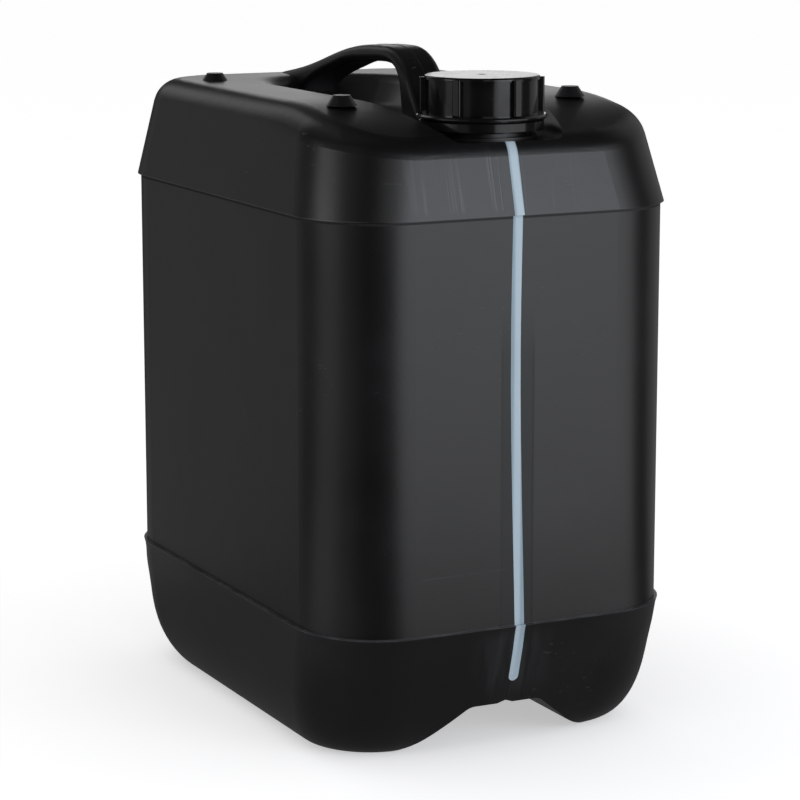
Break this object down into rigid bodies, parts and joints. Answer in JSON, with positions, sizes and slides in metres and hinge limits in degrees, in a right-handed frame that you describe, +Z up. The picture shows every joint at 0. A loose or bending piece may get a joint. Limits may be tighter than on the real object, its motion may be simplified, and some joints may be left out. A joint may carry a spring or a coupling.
{
  "type": "plastic canister",
  "caption": "Stacking blow-moulded canister with two top ridges, a moulded carrying handle, a sight stripe and a finned screw cap on a threaded neck.",
  "frame": {"origin": "on the ground under the middle of the body", "axes": "+Z up, -Y towards the neck and the sight stripe, X across the two ridges"},
  "size_m": [0.236, 0.3382, 0.4061],
  "materials": {
    "body": "satin black polyethylene with a fine moulded grain",
    "stripe": "milky unpigmented polyethylene",
    "cap": "glossy black injection moulding",
    "seal": "white foamed polyethylene"
  },
  "bodies": {
    "canister": {"canister_body": "body", "sight_stripe": "stripe", "tamper_ring": "cap"},
    "seal": {"cap_seal": "seal"},
    "cap": {"screw_cap": "cap"}
  },
  "joints": [
    {"name": "cap_turn", "type": "hinge", "parent": "seal", "child": "cap", "pos_m": [0, -0.121, 0.38], "axis": [0, 0, 1], "range_deg": [0, 540]},
    {"name": "cap_lift", "type": "slide", "parent": "canister", "child": "seal", "axis": [0, 0, 1], "range_m": [0, 0.009]}
  ],
  "couplings": [
    {"joint": "cap_lift", "follows": "cap_turn", "m_per_rad": 0.00095}
  ]
}
